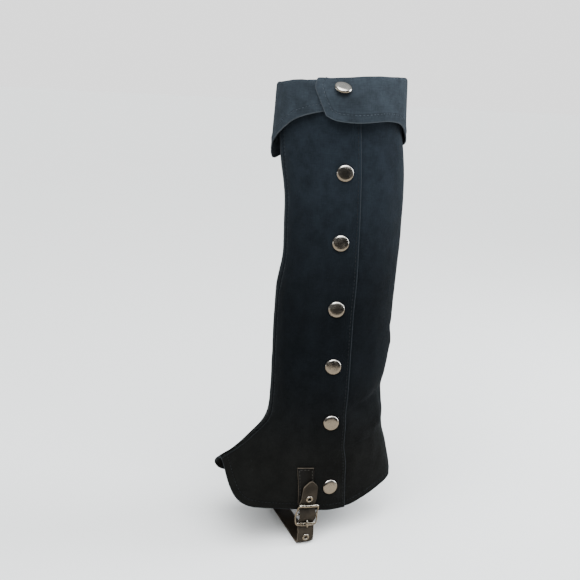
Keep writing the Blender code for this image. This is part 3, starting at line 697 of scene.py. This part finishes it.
def topstitching(name, lines, material):
    """Rows of stitches: each row a list of point and outward direction pairs."""
    cloth = settings("boot_cover_cloth")
    bm = bmesh.new()
    for line in lines:
        row = bmesh.new()
        carried = cloth.stitch_pitch * 0.5
        for (here, out), (there, _) in zip(line, line[1:]):
            step = there - here
            length = step.length
            if length < 1e-7:
                continue
            along = step / length
            while carried < length:
                z = out.normalized()
                y = z.cross(along).normalized()
                turn = Matrix((along, y, z)).transposed().to_4x4()
                size = Matrix.Diagonal((cloth.stitch_length / 2, 0.00036, 0.00026, 1.0))
                matrix = Matrix.Translation(here + along * carried) @ turn @ size
                bmesh.ops.create_uvsphere(row, u_segments=6, v_segments=4, radius=1.0,
                                          matrix=matrix)
                carried += cloth.stitch_pitch
            carried -= length
        bmesh.ops.recalc_face_normals(row, faces=row.faces)
        add_to(bm, row)
    return make_piece(name, bm, [material], ())


def stitch_lines(sides, inset):
    """Lines on the sheet a set distance in from some of its sides."""
    lines = []
    for side in sides:
        line = []
        for before, vert, after in zip(side, side[1:], side[2:]):
            along = (after.co - before.co).normalized()
            inward = sum((f.calc_center_median() for f in vert.link_faces), Vector())
            inward = inward / len(vert.link_faces) - vert.co
            inward = (inward - along * inward.dot(along)).normalized()
            line.append((vert.co + inward * inset, vert.normal.copy()))
        lines.append(line)
    return lines


def settled(bm, lines):
    """Put stitch lines down on the sheet, standing off by a little."""
    verts = list(bm.verts)
    tree = tree_of([v.co for v in verts])
    out = []
    for line in lines:
        placed = []
        for point, _ in line:
            _, index, _ = tree.find(point)
            vert = verts[index]
            normal = vert.normal
            gap = (point - vert.co).dot(normal)
            placed.append((point - normal * (gap - STITCH_LIFT), normal.copy()))
        out.append(placed)
    return out


def sew(node, levels, wrinkle, caps, insets, material, thread):
    """Cloth piece on a CAD wall, and its rows of topstitching.

    The insets are those of the rows along its hem, its free sides and its sewn sides.
    """
    bm, hem, free, sewn = cloth_sheet(node, levels, wrinkle, caps)
    bm.normal_update()
    rows = []
    for sides, inset in zip(([hem], free, sewn), insets):
        rows += stitch_lines(sides, inset)
    rows = settled(bm, rows)
    name = node.replace("_panel", "")
    obj = make_piece(name + "_cloth", bm, [material], [node])
    return obj, topstitching(name + "_topstitching", rows, thread)


class BOOTCOVER_OT_panels(bpy.types.Operator):
    """Build the cloth panels of the shaft with their seams, hem and topstitching"""

    bl_idname = "boot_cover.panels"
    bl_label = "Cloth Panels"

    def execute(self, context):
        cloth = settings("boot_cover_cloth")
        # Painted light on the panels: lighter and bluer towards the top, warmer towards the
        # bottom.
        material = cloth_material("brushed_twill", cloth.body_colour, cloth.wear_and_highlight_colour,
                                  (2.8, 2.95, 3.1), (1.25, 0.98, 0.72), 0.18, 0.40)
        thread = thread_material("topstitch_thread", cloth.thread_colour)
        caps = [cap_seat(f"snap_cap_{i}") for i in range(2, 8)]
        insets = (cloth.hem_depth - HEM_ROW, FREE_ROW, SEAM_ROW)
        for node, cut in PANELS.items():
            near = caps if node == "front_outer_panel" else []
            obj, stitches = sew(node, 2, cloth.wrinkle, near, insets, material, thread)
            add_wall(obj, cloth.wall)
            add_round_edges(obj, 0.0006)
        return {"FINISHED"}


class BOOTCOVER_OT_cuff(bpy.types.Operator):
    """Build the turned-down cuff in its two lapped halves"""

    bl_idname = "boot_cover.cuff"
    bl_label = "Turned-Down Cuff"

    def execute(self, context):
        cloth = settings("boot_cover_cloth")
        # Strong pale edges on the cuff: partly wear, partly a painted highlight along its edges.
        material = cloth_material("brushed_twill_cuff", cloth.cuff_colour, cloth.wear_and_highlight_colour,
                                  (1.0, 1.0, 1.0), (1.0, 1.0, 1.0), 0.26, 0.90)
        thread = thread_material("cuff_thread", cloth.cuff_thread_colour)
        insets = (cloth.hem_depth - HEM_ROW, cloth.hem_depth - HEM_ROW)
        for node, cut in CUFFS.items():
            near = [cap_seat("snap_cap_1")] if node == "cuff_back" else []
            obj, stitches = sew(node, 3, cloth.wrinkle * 0.6, near, insets, material, thread)
            add_wall(obj, cloth.cuff_wall)
        return {"FINISHED"}


# ---------------------------------------------------------------- metal and leather


def turned(bm, profile, steps, place, closed=False):
    """Spin a profile of radius and height in metres about the place's Z, into the bmesh."""
    part = bmesh.new()
    verts = [part.verts.new((radius, 0.0, height)) for radius, height in profile]
    edges = [part.edges.new(pair) for pair in zip(verts, verts[1:])]
    if closed:
        edges.append(part.edges.new((verts[-1], verts[0])))
    bmesh.ops.spin(part, geom=verts + edges, cent=(0, 0, 0), axis=(0, 0, 1),
                   angle=2 * math.pi, steps=steps, use_merge=True)
    bmesh.ops.remove_doubles(part, verts=part.verts, dist=1e-6)
    bmesh.ops.recalc_face_normals(part, faces=part.faces)
    bmesh.ops.transform(part, matrix=place, verts=part.verts)
    add_to(bm, part)


def millimetres(points):
    return [(radius * MM, height * MM) for radius, height in points]


class BOOTCOVER_OT_snaps(bpy.types.Operator):
    """Build the domed press caps and the studs behind them"""

    bl_idname = "boot_cover.snaps"
    bl_label = "Press Snaps"

    def execute(self, context):
        snap = settings("boot_cover_snap")
        metal = metal_material("dark_nickel_cap", snap.metal_colour, 0.16, 0.16)
        crown = snap.crown / MM
        post = [(0.0, -2.2), (4.3, -2.2), (4.5, -1.9), (4.5, -0.3)]
        cap = [(7.1, -0.3), (7.5, 0.0), (7.68, 0.5), (7.66, 1.05), (7.5, 1.5),
               (7.2, 1.88), (6.8, 2.16), (6.3, 2.38), (5.7, 2.56)]
        cap += [(5.1 * share, 2.68 + crown * (1 - share * share))
                for share in (1.0, 0.8, 0.6, 0.4, 0.2, 0.0)]
        names = [f"snap_cap_{i}" for i in range(1, 8)]
        bm = bmesh.new()
        for name in names:
            foot = post if name in LEANING_CAPS else [(0.0, -0.3)]
            turned(bm, millimetres(foot + cap), 48, self.seat(name, snap.tilt))
        make_piece("press_caps", bm, [metal], names)
        stud = [(0.0, 0.0), (5.2, 0.0), (5.5, 0.25), (5.4, 0.6), (4.6, 0.75), (3.1, 0.8),
                (2.9, 1.25), (2.5, 1.4), (1.6, 1.35), (1.3, 0.9), (0.0, 0.85)]
        names = [f"snap_stud_{i}" for i in range(2, 8)]
        bm = bmesh.new()
        for name in names:
            turned(bm, millimetres(stud), 32, seat_frame(name))
        make_piece("press_studs", bm, [metal], names)
        return {"FINISHED"}

    def seat(self, name, tilt):
        """Place of a cap: flat on its cloth, or leaning up off the bulge under it."""
        lift, share, way = LEANING_CAPS.get(name, UPRIGHT_CAP)
        raised = Matrix.Translation((0.0, 0.0, lift))
        heading = Matrix.Rotation(math.radians(way), 4, "Z")
        return seat_frame(name) @ raised @ heading @ Matrix.Rotation(-tilt * share, 4, "X")


def along_route(route, count):
    """Even points of a smooth route, with the turn of its width and the length so far."""
    places = [Vector(row[:3]) for row in route]
    lengths = [0.0]
    for before, after in zip(places, places[1:]):
        lengths.append(lengths[-1] + (after - before).length)
    columns = []
    for values in zip(*route):
        steps = [(b - a) / (e - s) for a, b, s, e in zip(values, values[1:], lengths, lengths[1:])]
        slopes = [steps[0]]
        for before, after in zip(steps, steps[1:]):
            slopes.append(0.0 if before * after <= 0 else 2 * before * after / (before + after))
        columns.append((values, slopes + [steps[-1]]))
    points = []
    for index in range(count + 1):
        at = lengths[-1] * index / count
        i = min(sum(length <= at for length in lengths) - 1, len(lengths) - 2)
        width = lengths[i + 1] - lengths[i]
        t = (at - lengths[i]) / width
        row = [(1 + 2 * t) * (1 - t) ** 2 * values[i] + t * (1 - t) ** 2 * width * slopes[i]
               + t * t * (3 - 2 * t) * values[i + 1] - t * t * (1 - t) * width * slopes[i + 1]
               for values, slopes in columns]
        points.append((Vector(row[:3]) * MM, row[3], at * MM))
    return points


def strap_band(route, count, half_width_at, columns=8):
    """Flat band of quads along a route."""
    points = along_route(route, count)
    bm = bmesh.new()
    bmesh.ops.create_grid(bm, x_segments=columns, y_segments=count, size=0.5)
    bm.verts.ensure_lookup_table()
    for vert in bm.verts:
        across = vert.co.x * 2
        here, skew, length = points[round((vert.co.y + 0.5) * count)]
        step = half_width_at(length) * across
        vert.co = here + Vector((step, skew * step, 0.0))
    bm.normal_update()
    return bm, points


def tail_half_width(length, full):
    """Half width of the strap near its pointed tail."""
    shape = [(0.0, 0.9), (0.8, 2.2), (2.2, 3.7), (4.2, 5.6), (5.4, 6.9), (6.8, 7.4), (14.0, 7.7)]
    at = length / MM
    for (low, first), (high, last) in zip(shape, shape[1:]):
        if at <= high:
            return (first + (last - first) * (at - low) / (high - low)) * MM
    return min(7.7 * MM + (length - 0.014) * 0.03, full / 2)


def beside(place, x, lift):
    """Stitch's point beside a place of the band's middle line, and its way out of the leather."""
    here, skew, _ = place
    side = math.copysign(1.0, lift)
    return here + Vector((x, x * skew + lift, 0.0)), Vector((-side * skew, side, 0.0))


class BOOTCOVER_OT_strap(bpy.types.Operator):
    """Build the sole strap and its sewn tab"""

    bl_idname = "boot_cover.strap"
    bl_label = "Sole Strap"

    def execute(self, context):
        strap = settings("boot_cover_strap")
        face = leather_material("strap_face", strap.leather_colour, 0.34, 1.0, 0.24)
        tab_face = leather_material("tab_face", strap.tab_colour, 0.40, 0.8, 0.12)
        edge = leather_material("strap_cut_edge", strap.edge_colour, 0.6, 0.5, 0.2)
        bm, points = strap_band(STRAP_ROUTE, STRAP_STEPS,
                                lambda at: tail_half_width(at, strap.strap_width), 10)
        obj = make_piece("sole_strap_leather", bm, [face, edge], ["sole_strap"])
        add_wall(obj, 0.002, 1).offset = 0.0
        for node in ("eyelet_1", "eyelet_3", "buckle_prong"):
            self.cut_hole(obj, node, points)
        add_round_edges(obj, 0.00045)
        thread = thread_material("strap_thread", strap.thread_colour)
        bm, tab_points = strap_band(TAB_ROUTE, 90, lambda at: strap.tab_width / 2 - 0.0019
                                * smooth_step(at, 0.040, 0.046))
        rows = []
        for side in (-1, 1):
            rows.append([beside(place, side * 0.0062, -TAB_STITCH_LIFT)
                         for place in tab_points if 0.0016 < place[2] < 0.030])
        rows.append([beside(tab_points[3], x * MM, -TAB_STITCH_LIFT) for x in range(-6, 7)])
        tab = make_piece("strap_tab_leather", bm, [tab_face, edge], ["strap_tab"])
        add_wall(tab, 0.0014, 1).offset = 0.0
        add_round_edges(tab, 0.0004)
        topstitching("strap_tab_stitching", rows, thread)
        box = [(-6.2, 2.0), (6.2, 2.0), (6.2, 15.0), (-6.2, 15.0), (-6.2, 2.0), (6.2, 15.0)]
        line = []
        for (x, low), (next_x, high) in zip(box, box[1:]):
            for share in range(12):
                across = (x + (next_x - x) * share / 12) * MM
                back = (low + (high - low) * share / 12) * MM
                place = points[round(STRAP_STEPS * (1 - back / points[-1][2]))]
                line.append(beside(place, across, STRAP_STITCH_LIFT))
        topstitching("strap_end_stitching", [line], thread)
        return {"FINISHED"}

    def cut_hole(self, obj, node, points):
        """Round hole through the strap under an eyelet, or where the prong goes in."""
        if node == "buckle_prong":
            middle = min((here for here, _, _ in points if here.y < 0),
                         key=lambda here: abs(here.z - PRONG_HOLE_Z))
            place = Matrix.Translation(middle) @ Matrix.Rotation(math.radians(90), 4, "X")
        else:
            place = seat_frame(node)
        bm = bmesh.new()
        bmesh.ops.create_cone(bm, cap_ends=True, segments=28, radius1=HOLE_RADIUS,
                              radius2=HOLE_RADIUS, depth=0.009, matrix=place)
        cutter = linked("hole", mesh_of("hole", bm))
        cut = obj.modifiers.new("Hole", "BOOLEAN")
        cut.object = cutter
        cut.solver = "EXACT"
        mesh = evaluated_mesh(obj)
        obj.modifiers.clear()
        obj.data = mesh
        bpy.data.objects.remove(cutter, do_unlink=True)


class BOOTCOVER_OT_eyelets(bpy.types.Operator):
    """Build the eyelets' rolled rings"""

    bl_idname = "boot_cover.eyelets"
    bl_label = "Eyelets"

    def execute(self, context):
        strap = settings("boot_cover_strap")
        metal = metal_material("bright_nickel", strap.nickel_colour, 0.2, 0.18)
        ring = [(1.75, -2.2), (1.75, 0.3), (1.85, 0.62), (2.15, 0.86), (2.6, 0.92),
                (3.1, 0.82), (3.5, 0.55), (3.7, 0.2), (3.68, -0.1), (3.4, -0.32), (2.05, -0.35),
                (2.0, -2.2)]
        bm = bmesh.new()
        for node in ("eyelet_1", "eyelet_3"):
            turned(bm, millimetres(ring), 36, seat_frame(node), closed=True)
        make_piece("eyelet_rings", bm, [metal], ["eyelet_1", "eyelet_3"])
        return {"FINISHED"}


def wire(bm, points, radius, cyclic=False, swell=()):
    """Round wire along smooth points, into the bmesh; swell holds each point's share of it."""
    curve = bpy.data.curves.new("wire", "CURVE")
    curve.dimensions = "3D"
    curve.resolution_u = 5
    curve.bevel_depth = radius
    curve.bevel_resolution = 5
    curve.use_fill_caps = not cyclic
    spline = curve.splines.new("BEZIER")
    spline.bezier_points.add(len(points) - 1)
    for knot, point, share in zip(spline.bezier_points, points, swell or [1.0] * len(points)):
        knot.co = point
        knot.radius = share
        knot.handle_left_type = knot.handle_right_type = "AUTO"
    spline.use_cyclic_u = cyclic
    holder = linked("wire", curve)
    bpy.context.view_layer.update()
    mesh = bpy.data.meshes.new_from_object(holder)
    bpy.data.objects.remove(holder, do_unlink=True)
    part = bmesh.new()
    part.from_mesh(mesh)
    bmesh.ops.remove_doubles(part, verts=part.verts, dist=1e-6)
    bmesh.ops.recalc_face_normals(part, faces=part.faces)
    add_to(bm, part)


class BOOTCOVER_OT_buckle(bpy.types.Operator):
    """Build the buckle's wire frame, its middle bar and the prong"""

    bl_idname = "boot_cover.buckle"
    bl_label = "Buckle"

    def execute(self, context):
        metal = bpy.data.materials["bright_nickel"]
        outline = [(-9.2, 10.4), (-3.5, 10.4), (3.5, 10.4), (9.2, 10.4), (10.2, 9.4),
                   (10.6, 5.2), (11.2, 0.0), (11.3, -5.2), (10.8, -8.4), (9.2, -10.4),
                   (5.0, -11.3), (0.0, -11.6)]
        outline += [(-x, z) for x, z in reversed(outline[4:11])]
        bm = bmesh.new()
        swell = [1.0 if z > 9.9 else 0.50 if z > -9.9 else 0.60 for x, z in outline]
        wire(bm, [self.on_frame(x, z) for x, z in outline], 0.0016, cyclic=True, swell=swell)
        ends = [self.on_frame(side * 11.2, 0.0) for side in (-1, 1)]
        wire(bm, [ends[0], (ends[0] + ends[1]) / 2, ends[1]], 0.001)
        wire(bm, [self.on_frame(x, -8.9) - Vector((0, 0.0004, 0)) for x in (-9.6, -4, 0, 4, 9.6)],
             0.0009)
        make_piece("buckle_wire_frame", bm, [metal], ["buckle_frame"])
        bm = bmesh.new()
        tongue = [(-36.5, -50.3, -409.8), (-36.5, -53.6, -410.6), (-36.4, -55.7, -413.0),
                  (-36.4, -56.0, -415.6), (-36.4, -55.9, -417.6)]
        wire(bm, [Vector(point) * MM for point in tongue], 0.00085)
        make_piece("buckle_tongue", bm, [metal], ["buckle_prong"])
        return {"FINISHED"}

    def on_frame(self, x, z):
        """Point of the frame, which sags at its middle, leans out and hangs a little askew."""
        set_back = 2.5 * math.cos(min(abs(z) / 10.4, 1) * math.pi / 2) ** 2
        askew = Matrix.Rotation(math.radians(5), 3, "Y")
        return (BUCKLE_CENTRE + askew @ Vector((x, set_back - 0.1 * z, z))) * MM


# ---------------------------------------------------------------- studio


def aimed(name, light, place, target):
    """Light object at a place, turned to its target."""
    holder = linked(name, light)
    holder.location = place
    holder.rotation_euler = (Vector(target) - Vector(place)).to_track_quat("-Z", "Y").to_euler()


def soft_box(name, place, target, size, power, colour):
    light = bpy.data.lights.new(name, "AREA")
    light.shape = "RECTANGLE"
    light.size, light.size_y = size
    light.energy = power
    light.color = colour
    aimed(name, light, place, target)


class BOOTCOVER_OT_studio(bpy.types.Operator):
    """Lay the pale floor and set the soft lights and the camera"""

    bl_idname = "boot_cover.studio"
    bl_label = "Studio"

    def execute(self, context):
        studio = settings("boot_cover_studio")
        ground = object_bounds()[0].z - 0.0002
        g = Graph("pale_floor")
        place = g.add("TexCoord").outputs["Object"]
        colour = studio.floor_colour
        tone = g.mix(g.clouds(place, 3.0), rgba(colour, 0.98), rgba(colour))
        g.feed(g.shader, {"Base Color": tone, "Roughness": 0.8, "Specular IOR Level": 0.0})
        self.stage_card("pale_floor", (120.0, 120.0), (0.0, 0.0, ground), 0.0, g.owner)
        self.reflected_card("dark_card", (3.6, 0.80), (-0.3, -0.62, ground + 0.40),
                            math.radians(90), (0.020, 0.0175, 0.0155, 1.0))
        self.reflected_card("warm_card", (3.6, 1.22), (-0.3, -0.01, ground + 0.0001), 0.0,
                            (0.27, 0.226, 0.172, 1.0))
        self.sky(context)
        middle = (0.0, 0.0, -0.2)
        sun = bpy.data.lights.new("soft_sun", "SUN")
        sun.energy = studio.key_power
        sun.angle = math.radians(68)
        sun.color = (0.97, 0.99, 1.0)
        aimed("soft_sun", sun, (-0.24, -0.90, 1.65), (0.0, 0.0, 0.0))
        soft_box("top", (-0.30, -0.42, 0.42), (0.0, 0.0, -0.1), (0.5, 0.5), studio.high_power,
                 (0.90, 0.96, 1.0))
        soft_box("side", (1.3, -0.25, 0.35), middle, (0.7, 1.2), studio.side_power,
                 (0.90, 0.95, 1.0))
        self.camera(context)
        return {"FINISHED"}

    def stage_card(self, name, size, middle, lean, material):
        """Flat card of the studio, leaned about X."""
        bm = bmesh.new()
        bmesh.ops.create_grid(bm, x_segments=1, y_segments=1, size=0.5)
        bmesh.ops.scale(bm, vec=(*size, 1.0), verts=bm.verts)
        bmesh.ops.rotate(bm, verts=bm.verts, matrix=Matrix.Rotation(lean, 3, "X"))
        bmesh.ops.translate(bm, verts=bm.verts, vec=middle)
        card = linked(name, mesh_of(name, bm))
        card.data.materials.append(material)
        card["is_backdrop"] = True
        return card

    def reflected_card(self, name, size, middle, lean, colour):
        """Card that shows in shiny pieces alone, and lights nothing."""
        g = Graph(name)
        g.feed(g.shader, {"Base Color": colour, "Roughness": 0.9})
        card = self.stage_card(name, size, middle, lean, g.owner)
        card.visible_camera = card.visible_shadow = card.visible_diffuse = False

    def sky(self, context):
        """Pale surround that dims from the horizon up and brightens overhead."""
        g = Graph("soft_room", "worlds", "Background")
        context.scene.world = g.owner
        direction = g.add("TexCoord").outputs["Generated"]
        ramp = g.add("ValToRGB", {0: g.add("SeparateXYZ", {0: direction}).outputs[2]})
        low, high = ramp.color_ramp.elements
        low.position, low.color = 0.30, (0.10, 0.085, 0.07, 1.0)
        high.position, high.color = 0.95, (0.90, 0.96, 1.0, 1.0)
        seen = g.add("LightPath").outputs["Is Camera Ray"]
        colour = g.mix(seen, ramp.outputs[0], (2.0, 2.0, 2.0, 1.0))
        g.feed(g.shader, {"Color": colour, "Strength": 0.9})

    def camera(self, context):
        """Camera at the photograph's angle: from the snap side, a little to the front.

        The picture's side, the focal length and the lens's middle are in pixels.
        """
        side, focal, middle_x, middle_y = 580.0, 834.4, 329.5, 344.3
        lens = bpy.data.cameras.new("photo_camera")
        lens.sensor_width = 36.0
        lens.lens = lens.sensor_width * focal / side
        lens.shift_x = -(middle_x - side / 2) / side
        lens.shift_y = (middle_y - side / 2) / side
        camera = linked("photo_camera", lens)
        azimuth, elevation, roll = (math.radians(angle) for angle in (-22.0, 16.5, -3.0))
        back = Vector((math.sin(azimuth) * math.cos(elevation),
                       -math.cos(azimuth) * math.cos(elevation), math.sin(elevation)))
        right = Vector((math.cos(azimuth), math.sin(azimuth), 0.0))
        up = back.cross(right)
        turn = Matrix((right * math.cos(roll) - up * math.sin(roll),
                       right * math.sin(roll) + up * math.cos(roll), back)).transposed()
        place = Vector((0.0, 0.0, -0.245)) + back * 0.85
        camera.matrix_world = Matrix.Translation(place) @ turn.to_4x4()
        context.scene.camera = camera


OPERATORS = (BOOTCOVER_OT_panels, BOOTCOVER_OT_cuff, BOOTCOVER_OT_snaps, BOOTCOVER_OT_strap,
             BOOTCOVER_OT_eyelets, BOOTCOVER_OT_buckle, BOOTCOVER_OT_studio)
GROUPS = {"boot_cover_cloth": ClothSettings, "boot_cover_snap": SnapSettings,
          "boot_cover_strap": StrapSettings, "boot_cover_studio": StudioSettings}


class BOOTCOVER_PT_sidebar(bpy.types.Panel):
    """Sizes and colours of the boot cover, and a button for each of its pieces"""

    bl_label = "Boot Cover"
    bl_idname = "BOOTCOVER_PT_sidebar"
    bl_space_type = "VIEW_3D"
    bl_region_type = "UI"
    bl_category = "Boot Cover"

    def draw(self, context):
        for name, group in GROUPS.items():
            box = self.layout.box()
            for prop in group.__annotations__:
                box.prop(getattr(context.scene, name), prop)
        for operator in OPERATORS:
            self.layout.operator(operator.bl_idname)


def register():
    for cls in (*GROUPS.values(), *OPERATORS, BOOTCOVER_PT_sidebar):
        bpy.utils.register_class(cls)
    for name, group in GROUPS.items():
        setattr(bpy.types.Scene, name, bpy.props.PointerProperty(type=group))


def unregister():
    for name in GROUPS:
        delattr(bpy.types.Scene, name)
    for cls in (BOOTCOVER_PT_sidebar, *reversed(OPERATORS), *reversed(GROUPS.values())):
        bpy.utils.unregister_class(cls)


def main():
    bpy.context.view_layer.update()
    register()
    bpy.ops.boot_cover.panels()
    bpy.ops.boot_cover.cuff()
    bpy.ops.boot_cover.snaps()
    bpy.ops.boot_cover.strap()
    bpy.ops.boot_cover.eyelets()
    bpy.ops.boot_cover.buckle()
    bpy.ops.boot_cover.studio()


if __name__ == "__main__":
    main()
